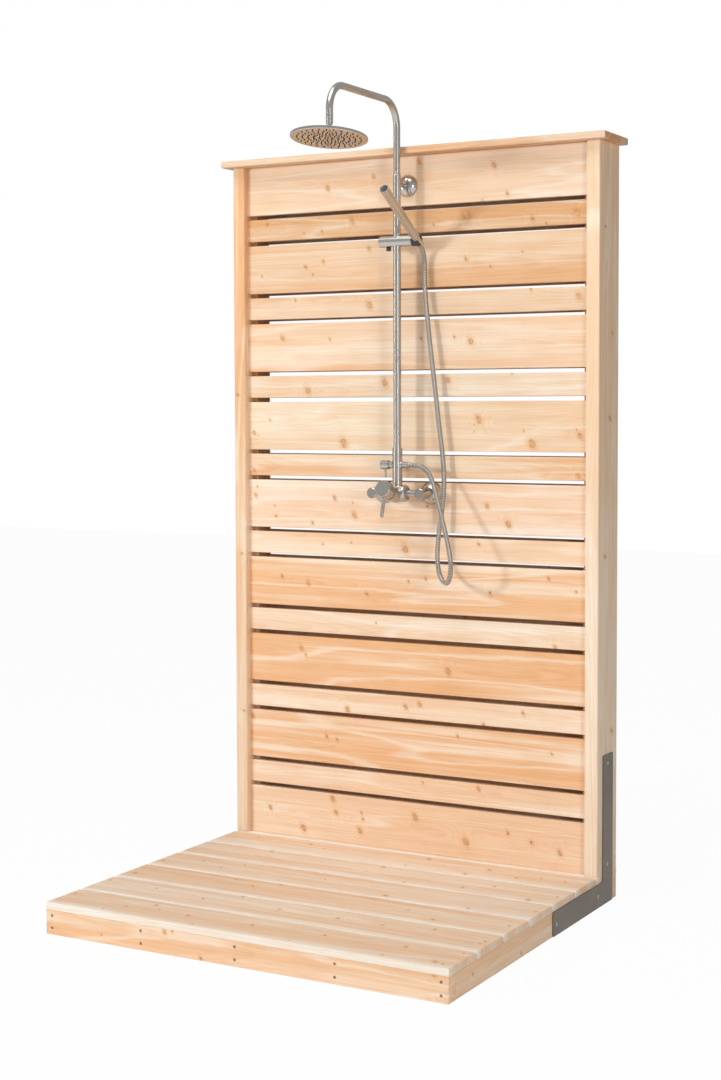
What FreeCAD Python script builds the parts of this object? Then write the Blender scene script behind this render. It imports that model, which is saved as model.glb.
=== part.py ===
import FreeCAD, Part
import math
import os

# Outdoor shower post: a slatted cedar wall on a slatted deck, with a shower set on the wall.
# Millimetres. X runs along the wall, the bather stands on the -Y side, +Z is up.
# Origin: middle of the deck's plan, on the ground.

V = FreeCAD.Vector

# --- timber sizes ---------------------------------------------------------------------------
WIDE = 139.7            # width of a wide board
NARROW = 63.5           # width of a ripped slat, also the height of the deck frame
THICK = 19.05           # thickness of boards and slats
STUD = 38.1             # thickness of posts, rims and joists
EASE = 1.5              # eased edges of boards
WIDTH = 1153.0          # over the posts, and the length of the deck boards
SLAT_GAP = 12.7
DECK_GAP = 9.5
DECK_BOARDS = 7
SLATS = 17              # wide and narrow in turn, wide at both ends
JOISTS = 5
CAP_SIDE = 24.0         # the cap's overhang at each end
CAP_FRONT = 28.0        # and over the bather's side

# --- levels and planes worked out from them ----------------------------------------------------
DECK_DEPTH = DECK_BOARDS * WIDE + (DECK_BOARDS - 1) * DECK_GAP
DECK_FRONT = -DECK_DEPTH / 2
DECK_BACK = DECK_DEPTH / 2
DECK_TOP = NARROW + THICK
POST_FRONT = DECK_BACK - WIDE
SLAT_FACE = POST_FRONT + THICK
BACK_SLAT_FACE = DECK_BACK - THICK
WALL_HEIGHT = (SLATS // 2) * (WIDE + NARROW + 2 * SLAT_GAP) + WIDE
WALL_TOP = DECK_TOP + WALL_HEIGHT
INNER = WIDTH / 2 - STUD

# --- steel angle plates ----------------------------------------------------------------------
PLATE = 3.0
PLATE_TOP = 408.0
PLATE_LEG = 70.0        # width of the upright leg
PLATE_REACH = 410.0     # length of the leg along the deck
PLATE_BACK = POST_FRONT + 105.0
PLATE_LOW = 1.0
PLATE_SCREWS = [(POST_FRONT + 68, 383), (POST_FRONT + 68, 107), (POST_FRONT + 2, 32), (POST_FRONT - 282, 29)]
RIM_SCREW_LEVELS = [17.5, 49.5]
SCREW_SHANK = 2.4
SCREW_HEAD = 5.0
SCREW_HEAD_DEEP = 3.4

# --- shower set ---------------------------------------------------------------------------------
SET_X = -6.0            # the set stands this far off the middle of the wall
RISER_Y = 333.0
RISER_R = 11.0
RISER_LOW = 1206.0
RISER_TOP = 1992.0
RISER_BORE = 9.55
ARM_R = 9.5
ARM_WALL = 1.2
ARM_LOW = 1932.0        # the arm's foot, inside the riser
ARM_LEVEL = 2189.0
ARM_BEND = 70.0
ARM_REACH = 370.0
ARM_END = 2083.0
HEAD_PIVOT = 2068.0
HEAD_R = 101.5
HEAD_TILT = 7.5         # degrees, front edge up
SLEEVE_R = 14.0
SLEEVE_LOW = 1121.0
SLEEVE_TOP = 1236.0
DIVERTER_LEVEL = 1188.0
INLET_LEVEL = 1108.5
INLET_SPACING = 150.0
STUB_R = 10.45          # half inch pipe thread, major radius
HANDLE_TILT = 15.0      # degrees, the mixer's axis rises to the front
HANDLE_R = 22.5
HANDLE_LONG = 31.0
SLIDER_LEVEL = 1808.0
SLIDER_R = 16.0
HAND_X = SET_X + 64.0   # plane of the hand shower
HAND_SLOPE = 32.1       # degrees above the horizontal
BRACE_LEVEL = 1967.0    # upper wall fixing
HOSE_R = 7.0
FIT = 0.05              # radial clearance of a turning fit
CLEAR = 0.3             # clearance between pieces that only pass each other


# --- helpers ----------------------------------------------------------------------------------
def box(low, high):
    return Part.makeBox(high[0] - low[0], high[1] - low[1], high[2] - low[2], V(*low))


def rod(start, end, radius):
    along = end - start
    return Part.makeCylinder(radius, along.Length, start, along)


def edges_along(shape, axis):
    """The straight edges of a shape that run along an axis."""
    found = []
    for edge in shape.Edges:
        if edge.Curve.TypeId == "Part::GeomLine" and abs(edge.tangentAt(edge.FirstParameter).dot(axis)) > 0.999:
            found.append(edge)
    return found


def board(low, high, axis, ease=EASE):
    """A board whose long edges are eased."""
    blank = box(low, high)
    return blank.makeChamfer(ease, edges_along(blank, axis))


def turned(outline, base, along):
    """A turned piece. The outline holds (radius, distance along the axis) corners; a pair of such
    points is an arc: a point that it passes, and its end."""
    edges = []

    def place(corner):
        return V(corner[0], 0, corner[1])

    here = place(outline[0])
    for step in list(outline[1:]) + [outline[0]]:
        if isinstance(step[0], tuple):
            end = place(step[1])
            edges.append(Part.Arc(here, place(step[0]), end).toShape())
        else:
            end = place(step)
            if (end - here).Length > 1e-6:
                edges.append(Part.LineSegment(here, end).toShape())
        here = end
    solid = Part.Face(Part.Wire(edges)).revolve(V(0, 0, 0), V(0, 0, 1), 360)
    solid.Placement = FreeCAD.Placement(base, FreeCAD.Rotation(V(0, 0, 1), along))
    return solid


def rounded_path(points):
    """Straight runs joined by tangent arcs, each as large as its two runs allow."""
    edges = []
    radii = []
    here = points[0]
    for before, corner, after in zip(points, points[1:], points[2:]):
        arriving = corner - before
        leaving = after - corner
        half_turn = arriving.getAngle(leaving) / 2
        cut = 0.45 * min(arriving.Length, leaving.Length)
        radius = cut / math.tan(half_turn)
        radii.append(radius)
        arriving.normalize()
        leaving.normalize()
        start = corner - arriving * cut
        end = corner + leaving * cut
        inward = (leaving - arriving).normalize()
        middle = corner + inward * (radius / math.cos(half_turn) - radius)
        edges.append(Part.LineSegment(here, start).toShape())
        edges.append(Part.Arc(start, middle, end).toShape())
        here = end
    edges.append(Part.LineSegment(here, points[-1]).toShape())
    return edges, radii


def tube_along(edges, radius, label):
    """A round cord along joined edges; prints its length and compares its volume."""
    path = Part.Wire(edges)
    start = edges[0].firstVertex().Point
    mouth = Part.Wire(Part.Circle(start, edges[0].tangentAt(edges[0].FirstParameter), radius).toShape())
    solid = path.makePipeShell([mouth], True, False)
    expected = math.pi * radius ** 2 * path.Length
    print(f"{label}: length {path.Length:.1f}, volume ratio {solid.Volume / expected:.4f}")
    return solid


def group(shapes):
    return Part.makeCompound(shapes)


def keep(name, shape):
    shape.exportStep(f"parts/{name}.step")


# --- fasteners -----------------------------------------------------------------------------------
def wood_screw(head, inward, length):
    """A countersunk screw whose head is flush at the point head; it cuts its own way into timber."""
    outline = [(0, 0), (SCREW_HEAD, 0), (SCREW_SHANK, SCREW_HEAD_DEEP), (SCREW_SHANK, length), (0, length)]
    return turned(outline, head, inward)


def joist_places():
    step = (WIDTH - STUD) / (JOISTS - 1)
    return [-(WIDTH - STUD) / 2 + number * step for number in range(JOISTS)]


def rim_screw_set(face, inward):
    return [wood_screw(V(x, face, level), inward, 75)
            for x in joist_places() for level in RIM_SCREW_LEVELS]


def plate_screw_set(side):
    outer = side * (WIDTH / 2 + PLATE)
    return [wood_screw(V(outer, y, z), V(-side, 0, 0), 36) for y, z in PLATE_SCREWS]


# --- deck -----------------------------------------------------------------------------------------
def deck_board(number):
    front = DECK_FRONT + number * (WIDE + DECK_GAP)
    return board((-WIDTH / 2, front, NARROW), (WIDTH / 2, front + WIDE, DECK_TOP), V(1, 0, 0))


def rim(front):
    return board((-WIDTH / 2, front, 0), (WIDTH / 2, front + STUD, NARROW), V(1, 0, 0))


def joists():
    bars = []
    for x in joist_places():
        low = (x - STUD / 2, DECK_FRONT + STUD, 0)
        high = (x + STUD / 2, DECK_BACK - STUD, NARROW)
        bars.append(board(low, high, V(0, 1, 0)))
    return bars


# --- wall -----------------------------------------------------------------------------------------
def slat_levels():
    """Lower and upper edge of each slat, from the deck upwards."""
    levels = []
    low = DECK_TOP
    for number in range(SLATS):
        height = WIDE if number % 2 == 0 else NARROW
        levels.append((low, low + height))
        low += height + SLAT_GAP
    return levels


def slat(face, low, high):
    return board((-INNER, face, low), (INNER, face + THICK, high), V(1, 0, 0))


def post(side):
    inner = side * INNER
    outer = side * WIDTH / 2
    low = (min(inner, outer), POST_FRONT, DECK_TOP)
    high = (max(inner, outer), DECK_BACK, WALL_TOP)
    return board(low, high, V(0, 0, 1), 2.0)


def batten(side):
    """The strip between the two layers of slats, on a post's inner face."""
    inner = side * (INNER - THICK)
    outer = side * INNER
    low = (min(inner, outer), SLAT_FACE + THICK, DECK_TOP)
    high = (max(inner, outer), BACK_SLAT_FACE - THICK, WALL_TOP)
    return box(low, high)


def top_cap():
    low = (-WIDTH / 2 - CAP_SIDE, POST_FRONT - CAP_FRONT, WALL_TOP)
    high = (WIDTH / 2 + CAP_SIDE, DECK_BACK, WALL_TOP + THICK)
    blank = box(low, high)
    return blank.makeChamfer(2.0, edges_along(blank, V(1, 0, 0)) + edges_along(blank, V(0, 1, 0)))


def angle_plate(side):
    """L-shaped flat steel on the outside of a post and the deck frame."""
    back = PLATE_BACK
    corner = back - PLATE_LEG
    front = back - PLATE_REACH
    low = PLATE_LOW
    inside = NARROW + 1
    points = [V(0, front, low), V(0, back, low), V(0, back, PLATE_TOP), V(0, corner, PLATE_TOP),
              V(0, corner, inside), V(0, front, inside), V(0, front, low)]
    flat = Part.Face(Part.makePolygon(points)).extrude(V(side * PLATE, 0, 0))
    flat = flat.translated(V(side * WIDTH / 2, 0, 0))
    return flat.makeFillet(4.0, edges_along(flat, V(1, 0, 0)))


# --- shower set: where things are -------------------------------------------------------------
def at(x, y, z):
    """A point given from the riser's axis."""
    return V(SET_X + x, RISER_Y + y, z)


def mixer_axis():
    tilt = math.radians(HANDLE_TILT)
    return V(0, -math.cos(tilt), math.sin(tilt))


def mixer_pivot():
    return at(0, -58.3, 1117.0)


def hand_axis():
    slope = math.radians(HAND_SLOPE)
    return V(0, -math.cos(slope), math.sin(slope))


def hand_point(distance):
    """A point on the hand shower's axis, from where it crosses the slider's axis."""
    return V(HAND_X, RISER_Y, SLIDER_LEVEL) + hand_axis() * distance


# --- riser, arm and rain head ---------------------------------------------------------------------
def riser_tube():
    outline = [(RISER_BORE, 0), (RISER_R, 0), (RISER_R, RISER_TOP - RISER_LOW - 1),
               (RISER_R - 0.7, RISER_TOP - RISER_LOW), (RISER_BORE, RISER_TOP - RISER_LOW)]
    return turned(outline, at(0, 0, RISER_LOW), V(0, 0, 1))


def arm_path():
    rise = ARM_LEVEL - ARM_BEND
    bend = ARM_BEND * math.sin(math.pi / 4)
    near = Part.Arc(at(0, 0, rise), at(0, -ARM_BEND + bend, rise + bend), at(0, -ARM_BEND, ARM_LEVEL))
    far = Part.Arc(at(0, ARM_BEND - ARM_REACH, ARM_LEVEL), at(0, ARM_BEND - ARM_REACH - bend, rise + bend),
                   at(0, -ARM_REACH, rise))
    pieces = [Part.LineSegment(at(0, 0, ARM_LOW), at(0, 0, rise)), near,
              Part.LineSegment(at(0, -ARM_BEND, ARM_LEVEL), at(0, ARM_BEND - ARM_REACH, ARM_LEVEL)), far,
              Part.LineSegment(at(0, -ARM_REACH, rise), at(0, -ARM_REACH, ARM_END))]
    return Part.Wire([piece.toShape() for piece in pieces])


def shower_arm():
    """The bent tube; its foot turns in the riser."""
    solids = []
    for radius in (ARM_R, ARM_R - ARM_WALL):
        mouth = Part.Wire(Part.Circle(at(0, 0, ARM_LOW), V(0, 0, 1), radius).toShape())
        solids.append(arm_path().makePipeShell([mouth], True, False))
    return solids[0].cut(solids[1])


BALL_R = 9.0
BALL_NECK = 5.0


def rain_head_ball():
    """Threaded stud in the arm's mouth with the ball that the head tilts on."""
    down = V(0, 0, -1)
    plug = ARM_R - ARM_WALL
    drop = ARM_END - HEAD_PIVOT
    neck_end = drop - math.sqrt(BALL_R ** 2 - BALL_NECK ** 2)
    outline = [(0, -12), (plug, -12), (plug, 0), (8.6, 0), (8.6, 3.5), (BALL_NECK, 4.5),
               (BALL_NECK, neck_end), ((BALL_R, drop), (0, drop + BALL_R))]
    return turned(outline, at(0, -ARM_REACH, ARM_END), down)


def tilt_head(shape):
    shape.rotate(at(0, -ARM_REACH, HEAD_PIVOT), V(1, 0, 0), -HEAD_TILT)
    return shape


HEAD_TOP = -18.0        # top of the thin disc, below the ball's centre
HEAD_THICK = 8.0
SOCKET_R = 14.0


def rain_head():
    """Thin round head: a rim, a shallow recess for the face, and the socket nut round the ball."""
    bottom = HEAD_TOP - HEAD_THICK
    seat = BALL_R + FIT
    lip = 5.5
    opening = math.sqrt(seat ** 2 - lip ** 2)
    outline = [(0, bottom + 0.8), (HEAD_R - 5.5, bottom + 0.8), (HEAD_R - 4.5, bottom), (HEAD_R - 1.5, bottom),
               (HEAD_R, bottom + 1.5), (HEAD_R, HEAD_TOP - 1.5), (HEAD_R - 1.5, HEAD_TOP), (26, HEAD_TOP + 1.5),
               (SOCKET_R, HEAD_TOP + 4), (SOCKET_R, lip - 1), (SOCKET_R - 1, lip), (opening, lip),
               ((seat, 0), (0, -seat))]
    return tilt_head(turned(outline, at(0, -ARM_REACH, HEAD_PIVOT), V(0, 0, 1)))


NOZZLE_SPOKES = 24
NOZZLE_RINGS = 6


def rain_head_nozzles():
    """Soft nozzles in curved spokes, standing proud of the face."""
    nozzles = []
    face = HEAD_TOP - HEAD_THICK + 0.8
    for ring in range(NOZZLE_RINGS):
        radius = 20.0 + ring * 14.0
        for spoke in range(NOZZLE_SPOKES):
            turn = math.radians(spoke * 360 / NOZZLE_SPOKES + ring * 5)
            place = at(radius * math.cos(turn), -ARM_REACH + radius * math.sin(turn), HEAD_PIVOT + face)
            nozzle = Part.makeBox(3, 3, 1.8, place - V(1.5, 1.5, 1.8))
            nozzle.rotate(place, V(0, 0, 1), math.degrees(turn))
            nozzles.append(nozzle)
    return tilt_head(group(nozzles))


# --- upper wall fixing ---------------------------------------------------------------------------
def rosette(x, level, radius, throat, deep):
    """A bell-shaped cover against the slats."""
    outline = [(0, 0), (radius, 0), (radius, 2.5), ((radius * 0.80, deep * 0.62), (throat, deep)), (0, deep)]
    return turned(outline, V(SET_X + x, SLAT_FACE, level), V(0, -1, 0))


def top_post():
    bar = rod(V(SET_X, SLAT_FACE - 18, BRACE_LEVEL), at(0, 0, BRACE_LEVEL), 7.5)
    return bar.cut(rod(at(0, 0, BRACE_LEVEL - 20), at(0, 0, BRACE_LEVEL + 20), RISER_R))


# --- diverter ----------------------------------------------------------------------------------------
KNOB_SPINDLE = 4.5


def diverter_body():
    """Cast tee: sleeve, cross barrel and their fillets, bored for the riser and the knob's spindle.
    The sleeve's own seam is turned to the wall side, clear of the fillets."""
    sleeve = rod(at(0, 0, SLEEVE_LOW), at(0, 0, SLEEVE_TOP), SLEEVE_R)
    sleeve.rotate(at(0, 0, 0), V(0, 0, 1), 90)
    barrel = rod(at(-24, 0, DIVERTER_LEVEL), at(17, 0, DIVERTER_LEVEL), 9.5)
    body = sleeve.fuse(barrel).removeSplitter()
    seams = [e for e in body.Edges if e.Curve.TypeId != "Part::GeomLine" and _is_seam(e)]
    body = body.makeFillet(3.0, seams)
    body = body.cut(rod(at(0, 0, RISER_LOW), at(0, 0, SLEEVE_TOP), RISER_R))
    return body.cut(rod(at(-24, 0, DIVERTER_LEVEL), at(-6, 0, DIVERTER_LEVEL), KNOB_SPINDLE + FIT))


def _is_seam(edge):
    """True for the curve where barrel and sleeve meet."""
    reach = abs(edge.BoundBox.Center.x - SET_X)
    return 8 < reach < 16 and edge.BoundBox.ZLength < 25


def diverter_knob():
    """Round knob with its spindle and lever pin."""
    outline = [(0, 0), (11.5, 0), (13, 1.5), (13, 25), (12, 26), (KNOB_SPINDLE, 26), (KNOB_SPINDLE, 44), (0, 44)]
    knob = turned(outline, at(-24 - CLEAR - 26, 0, DIVERTER_LEVEL), V(1, 0, 0))
    pin = rod(at(-38, 0, DIVERTER_LEVEL), at(-38, 0, DIVERTER_LEVEL - 35), 3.5)
    pin = pin.makeFillet(1.2, [e for e in pin.Edges if abs(e.BoundBox.Center.z - (DIVERTER_LEVEL - 35)) < 0.1])
    return knob.fuse(pin).removeSplitter()


def hose_nut():
    """Nut of the hose at the tee."""
    outline = [(0, 0), (8.5, 0), (9, 0.6), (9, 12), (8, 13.4), (8, 18.4), (7.4, 19.4), (0, 19.4)]
    return turned(outline, at(17, 0, DIVERTER_LEVEL), V(1, 0, 0))


# --- mixer ---------------------------------------------------------------------------------------------
ARM_PIPE_R = 9.5
UNION_R = 15.0
UNION_FRONT = -16.0
STEM_R = 8.0
PIN_R = 2.5
COLLAR_GAP = 6.5
PIPE_R = 10.0
THREAD_LONG = 18.0


def union_axis(side):
    return side * INLET_SPACING / 2


def mixer_body():
    """Barrel, the neck that holds the cartridge, and the two arms to the unions."""
    barrel = rod(at(-32, 0, INLET_LEVEL), at(32, 0, INLET_LEVEL), 24)
    barrel = barrel.makeFillet(9.0, [e for e in barrel.Edges if e.Curve.TypeId == "Part::GeomCircle"])
    axis = mixer_axis()
    pivot = mixer_pivot()
    neck = rod(pivot - axis * 52, pivot - axis * COLLAR_GAP, 22)
    collar = rod(pivot - axis * (COLLAR_GAP + 7), pivot - axis * COLLAR_GAP, 24)
    arms = rod(at(union_axis(-1), 0, INLET_LEVEL), at(union_axis(1), 0, INLET_LEVEL), ARM_PIPE_R)
    body = barrel.fuse([neck, collar, arms])
    body = body.cut([union_blank(side) for side in (-1, 1)])
    body = body.cut(rod(at(0, 0, SLEEVE_LOW), at(0, 0, 1160), SLEEVE_R))
    socket = Part.makeSphere(HANDLE_R + CLEAR, pivot)
    body = body.cut([socket, rod(pivot - axis * 40, pivot, STEM_R + FIT)])
    return body.removeSplitter()


def union_blank(side):
    return rod(V(SET_X + union_axis(side), RISER_Y + UNION_FRONT, INLET_LEVEL),
               V(SET_X + union_axis(side), SLAT_FACE - 20, INLET_LEVEL), UNION_R)


def inlet_union(side):
    """Wall union: a drum that the mixer's arm enters, and the threaded stub through the wall."""
    front = RISER_Y + UNION_FRONT
    long = SLAT_FACE - 20 - front
    stub_end = DECK_BACK - 2 - front
    thread = stub_end - THREAD_LONG
    outline = [(0, 0), (UNION_R - 1.5, 0), (UNION_R, 1.5), (UNION_R, long), (PIPE_R, long), (PIPE_R, thread),
               (STUB_R, thread), (STUB_R, stub_end), (7.0, stub_end), (7.0, stub_end - 14), (0, stub_end - 14)]
    return turned(outline, V(SET_X + union_axis(side), front, INLET_LEVEL), V(0, 1, 0))


def inlet_rosette(side):
    bell = rosette(union_axis(side), INLET_LEVEL, 33, 17, 24)
    hollow = rod(V(SET_X + union_axis(side), SLAT_FACE, INLET_LEVEL),
                 V(SET_X + union_axis(side), SLAT_FACE - 20, INLET_LEVEL), PIPE_R)
    drum = rod(V(SET_X + union_axis(side), SLAT_FACE - 20, INLET_LEVEL),
               V(SET_X + union_axis(side), SLAT_FACE - 30, INLET_LEVEL), UNION_R)
    return bell.cut([hollow, drum])


def stub_hole(side):
    start = V(SET_X + union_axis(side), SLAT_FACE - 1, INLET_LEVEL)
    end = V(SET_X + union_axis(side), DECK_BACK + 1, INLET_LEVEL)
    return rod(start, end, STUB_R + 1.0)


def mixer_stem():
    """Cartridge stem with the cross pin that the handle rocks on."""
    axis = mixer_axis()
    pivot = mixer_pivot()
    stem = rod(pivot - axis * 39, pivot - axis * 19, STEM_R)
    tongue = rod(pivot - axis * 19, pivot + axis * 5, 5.0)
    pin = rod(pivot - V(14, 0, 0), pivot + V(14, 0, 0), PIN_R)
    return stem.fuse([tongue, pin]).removeSplitter()


def mixer_handle():
    """Round handle: flat front, ball-shaped rear that turns in the collar, hollow round the stem."""
    axis = mixer_axis()
    pivot = mixer_pivot()
    rear = 12.0
    rear_r = math.sqrt(HANDLE_R ** 2 - rear ** 2)
    mid = math.radians(-16)
    outline = [(10.5, -rear), (rear_r, -rear), ((HANDLE_R * math.cos(mid), HANDLE_R * math.sin(mid)), (HANDLE_R, 0)),
               (HANDLE_R, HANDLE_LONG - 1.5), (HANDLE_R - 1.5, HANDLE_LONG), (0, HANDLE_LONG), (0, 9), (10.5, 9)]
    handle = turned(outline, pivot, axis)
    handle = handle.cut(rod(pivot - V(14 + CLEAR, 0, 0), pivot + V(14 + CLEAR, 0, 0), PIN_R + FIT))
    return handle.cut(lever_rod())


def lever_rod():
    axis = mixer_axis()
    down = V(0, -axis.z, axis.y)
    root = mixer_pivot() + axis * 15
    start = root + down * 14
    return rod(start, root + down * 78, 5.25)


def handle_lever():
    lever = lever_rod()
    return lever.makeFillet(1.2, [e for e in lever.Edges if e.BoundBox.Center.z < lever.BoundBox.ZMin + 3])


# --- slider and hand shower ------------------------------------------------------------------------
LINER_START = 50.0
LINER_END = 72.0
CONE_WIDE = 12.0
CONE_NARROW = 9.75
CONE_UP = 18.0
CONE_DOWN = 20.0
SCREW_X = -26.0


def slider():
    """Round crossbar on the riser, with the thumb screw's hole from below."""
    outline = [(0, 0), (SLIDER_R - 1.5, 0), (SLIDER_R, 1.5), (SLIDER_R, 52 + LINER_START), (0, 52 + LINER_START)]
    bar = turned(outline, at(-52, 0, SLIDER_LEVEL), V(1, 0, 0))
    bar = bar.cut(rod(at(0, 0, SLIDER_LEVEL - 30), at(0, 0, SLIDER_LEVEL + 30), RISER_R + FIT))
    return bar.cut(rod(at(SCREW_X, 0, SLIDER_LEVEL - 30), at(SCREW_X, 0, SLIDER_LEVEL), 3.0 + FIT))


def cone_space(gap):
    """The tapered room that the hose's cone nut takes, and the way in past it."""
    slope = (CONE_WIDE - CONE_NARROW) / (CONE_UP + CONE_DOWN)
    far = 30.0
    outline = [(0, -far), (CONE_NARROW - slope * (far - CONE_DOWN) + gap, -far),
               (CONE_WIDE + slope * (far - CONE_UP) + gap, far), (0, far)]
    return turned(outline, hand_point(0), hand_axis())


def slider_liner():
    """Black cradle at the slider's end, open to the side."""
    outline = [(0, 0), (SLIDER_R, 0), (SLIDER_R, LINER_END - LINER_START - 1),
               (SLIDER_R - 1, LINER_END - LINER_START), (0, LINER_END - LINER_START)]
    block = turned(outline, at(LINER_START, 0, SLIDER_LEVEL), V(1, 0, 0))
    return block.cut(cone_space(CLEAR))


def slider_screw():
    """Knurled thumb screw under the slider."""
    outline = [(0, 0), (6, 0), (7, 1), (7, 8), (6.2, 9), (3, 9), (3, 24), (0, 24)]
    return turned(outline, at(SCREW_X, 0, SLIDER_LEVEL - SLIDER_R - 9 - CLEAR), V(0, 0, 1))


HOSE_SOCKET = 28.0
HOSE_SOCKET_R = 7.4


def hose_cone_nut():
    """Tapered nut that joins hose and hand shower, and sits in the cradle."""
    outline = [(HOSE_SOCKET_R + 0.8, 0), (CONE_NARROW, 0), (CONE_WIDE, CONE_UP + CONE_DOWN),
               (0, CONE_UP + CONE_DOWN), (0, HOSE_SOCKET), (HOSE_SOCKET_R, HOSE_SOCKET), (HOSE_SOCKET_R, 2)]
    return turned(outline, hand_point(-CONE_DOWN), hand_axis())


HAND_LONG = 211.0
HAND_NECK_R = 11.8
HAND_TOP_R = 13.0


def hand_shower():
    """Slim straight handle that widens to the spray face, a little sunk in its rim."""
    outline = [(0, 0), (HAND_NECK_R, 0), (HAND_NECK_R, 8), (HAND_TOP_R, HAND_LONG - 1), (HAND_TOP_R - 1, HAND_LONG),
               (HAND_TOP_R - 1.6, HAND_LONG), (HAND_TOP_R - 1.6, HAND_LONG - 1.2), (0, HAND_LONG - 1.2)]
    return turned(outline, hand_point(CONE_UP), hand_axis())


# --- hose: corners of its route from the tee down to the loop and up to the hand shower ------------
HOSE_FALL = [V(30.4, 333, 1188), V(57, 333, 1188), V(82, 330, 1178.5), V(103, 322, 1160), V(122, 310, 1127),
             V(150, 289, 1063), V(177, 268, 1004), V(195, 253, 961), V(204, 248, 915), V(185, 270, 868)]
HOSE_RISE = [V(144, 314, 868), V(115, 345, 897), V(107, 355, 945), V(110, 360, 1002), V(118, 365, 1063),
             V(122, 370, 1130), V(118, 371, 1205), V(106, 370, 1295), V(94, 370, 1395), V(81, 369, 1500),
             V(68, 371, 1600), V(57, 377, 1692), V(57, 380.5, 1755), V(58, 361, 1790.4), V(58, 326.6, 1812)]


def hose_parts():
    """The hose's two stretches, which meet in the middle of the run at the bottom of the loop."""
    edges, radii = rounded_path(HOSE_FALL + HOSE_RISE)
    print("hose radii", [round(radius) for radius in radii])
    low_run = 2 * (len(HOSE_FALL) - 1)
    low_start = edges[low_run].firstVertex().Point
    low_end = edges[low_run].lastVertex().Point
    middle = (low_start + low_end) * 0.5
    fall = edges[:low_run] + [Part.LineSegment(low_start, middle).toShape()]
    rise = [Part.LineSegment(middle, low_end).toShape()] + edges[low_run + 1:]
    return tube_along(fall, HOSE_R, "hose_fall"), tube_along(rise, HOSE_R, "hose_rise")


# --- assembly ------------------------------------------------------------------------------------------
def make_deck():
    for number in range(DECK_BOARDS):
        keep(f"deck_board_{number + 1}", deck_board(number))
    front_screws = rim_screw_set(DECK_FRONT, V(0, 1, 0))
    rear_screws = rim_screw_set(DECK_BACK, V(0, -1, 0))
    plate_screws = plate_screw_set(-1) + plate_screw_set(1)
    keep("front_rim", rim(DECK_FRONT))
    keep("rear_rim", rim(DECK_BACK - STUD))
    keep("deck_joists", group(joists()))
    keep("rim_screws", group(front_screws + rear_screws))
    keep("bracket_screws", group(plate_screws))
    for side, name in ((-1, "left"), (1, "right")):
        keep(f"{name}_bracket", angle_plate(side).cut(plate_screws))
        keep(f"{name}_post", post(side))
        keep(f"{name}_batten", batten(side))


def make_wall():
    holes = [stub_hole(side) for side in (-1, 1)]
    back = []
    for number, (low, high) in enumerate(slat_levels()):
        front = slat(SLAT_FACE, low, high)
        rear = slat(BACK_SLAT_FACE - THICK, low, high)
        if low < INLET_LEVEL < high:
            front = front.cut(holes)
            rear = rear.cut(holes)
        keep(f"front_slat_{number + 1:02d}", front)
        back.append(rear)
    keep("back_slats", group(back))
    keep("top_cap", top_cap())


def make_shower():
    keep("riser_tube", riser_tube())
    keep("shower_arm", shower_arm())
    keep("rain_head_ball", rain_head_ball())
    keep("rain_head", rain_head())
    keep("rain_head_nozzles", rain_head_nozzles())
    keep("top_rosette", rosette(0, BRACE_LEVEL, 31, 10, 18))
    keep("top_post", top_post())
    keep("diverter_body", diverter_body())
    keep("diverter_knob", diverter_knob())
    keep("mixer_body", mixer_body())
    keep("mixer_stem", mixer_stem())
    keep("mixer_handle", mixer_handle())
    keep("handle_lever", handle_lever())
    keep("inlet_unions", group([inlet_union(side) for side in (-1, 1)]))
    keep("inlet_rosettes", group([inlet_rosette(side) for side in (-1, 1)]))
    keep("slider", slider())
    keep("slider_liner", slider_liner())
    keep("slider_screw", slider_screw())
    keep("hand_shower", hand_shower())
    keep("hose_cone_nut", hose_cone_nut())
    keep("hose_nut", hose_nut())
    fall, rise = hose_parts()
    keep("hose_fall", fall)
    keep("hose_rise", rise)


os.makedirs("parts", exist_ok=True)
make_deck()
make_wall()
make_shower()
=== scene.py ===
import math

import bmesh
import bpy
from bpy.props import FloatProperty, FloatVectorProperty, IntProperty, PointerProperty
from bpy.types import Operator, Panel, PropertyGroup
from mathutils import Matrix, Vector


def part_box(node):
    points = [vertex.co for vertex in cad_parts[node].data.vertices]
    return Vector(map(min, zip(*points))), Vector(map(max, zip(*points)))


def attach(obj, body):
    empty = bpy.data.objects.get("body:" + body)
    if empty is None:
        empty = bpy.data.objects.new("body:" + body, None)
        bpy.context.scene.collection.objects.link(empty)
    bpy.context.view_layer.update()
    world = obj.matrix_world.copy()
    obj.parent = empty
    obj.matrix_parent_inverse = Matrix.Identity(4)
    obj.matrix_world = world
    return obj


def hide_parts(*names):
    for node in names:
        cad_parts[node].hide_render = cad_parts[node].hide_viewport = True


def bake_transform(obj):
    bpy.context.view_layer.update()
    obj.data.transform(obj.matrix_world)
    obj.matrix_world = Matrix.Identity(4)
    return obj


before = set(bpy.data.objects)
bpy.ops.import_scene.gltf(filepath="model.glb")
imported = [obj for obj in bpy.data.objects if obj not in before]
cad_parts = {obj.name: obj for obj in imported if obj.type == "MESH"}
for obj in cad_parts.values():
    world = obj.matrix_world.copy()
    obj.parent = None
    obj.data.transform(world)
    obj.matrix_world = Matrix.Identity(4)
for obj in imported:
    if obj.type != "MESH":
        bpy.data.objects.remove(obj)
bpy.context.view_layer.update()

bl_info = {
    "name": "Outdoor Shower Post",
    "version": (1, 0, 0),
    "blender": (4, 5, 0),
    "location": "View3D > Sidebar > Shower Post",
    "description": "Finishes, hose and small parts of a slatted cedar shower post",
    "category": "Object",
}

MM = 0.001

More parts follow.
